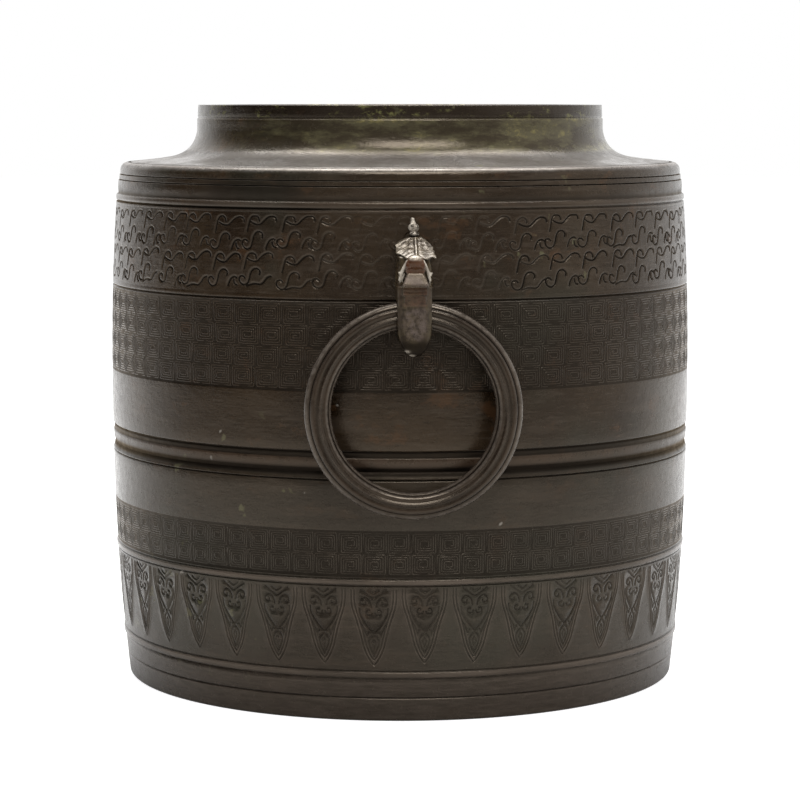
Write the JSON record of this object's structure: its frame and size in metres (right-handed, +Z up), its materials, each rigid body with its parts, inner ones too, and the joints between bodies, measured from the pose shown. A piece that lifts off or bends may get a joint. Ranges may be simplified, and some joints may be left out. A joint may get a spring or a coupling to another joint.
{
  "type": "twin-handled pot",
  "caption": "Broad cast bronze pot with a short neck, relief bands and a swinging ring handle in a beast-head lug on each side.",
  "frame": {"origin": "centre of the foot, on the surface the pot stands on", "axes": "+Z up along the pot's axis; the ring handles are on -Y (front) and +Y (back)"},
  "size_m": [0.3002, 0.356, 0.2946],
  "materials": {
    "body_bronze": "dark brown patinated cast bronze, soft sheen, worn lighter on raised edges",
    "plate_bronze": "dull dark cast bronze",
    "lug_bronze": "brown patinated cast bronze with worn golden highlights",
    "ring_bronze": "brown patinated bronze, polished by handling",
    "rivet_bronze": "hammered dull bronze"
  },
  "bodies": {
    "vessel": {"vessel_body": "body_bronze", "base_plate": "plate_bronze", "front_lug": "lug_bronze", "back_lug": "lug_bronze", "front_upper_rivet": "rivet_bronze", "front_lower_rivet": "rivet_bronze", "back_upper_rivet": "rivet_bronze", "back_lower_rivet": "rivet_bronze"},
    "front_ring": {"front_ring": "ring_bronze"},
    "back_ring": {"back_ring": "ring_bronze"}
  },
  "joints": [
    {"name": "front_ring_swing", "type": "hinge", "parent": "vessel", "child": "front_ring", "pos_m": [0, -0.15576, 0.1965], "axis": [-1, 0, 0], "range_deg": [0, 180]},
    {"name": "back_ring_swing", "type": "hinge", "parent": "vessel", "child": "back_ring", "pos_m": [0, 0.15576, 0.1965], "axis": [1, 0, 0], "range_deg": [0, 180]}
  ]
}
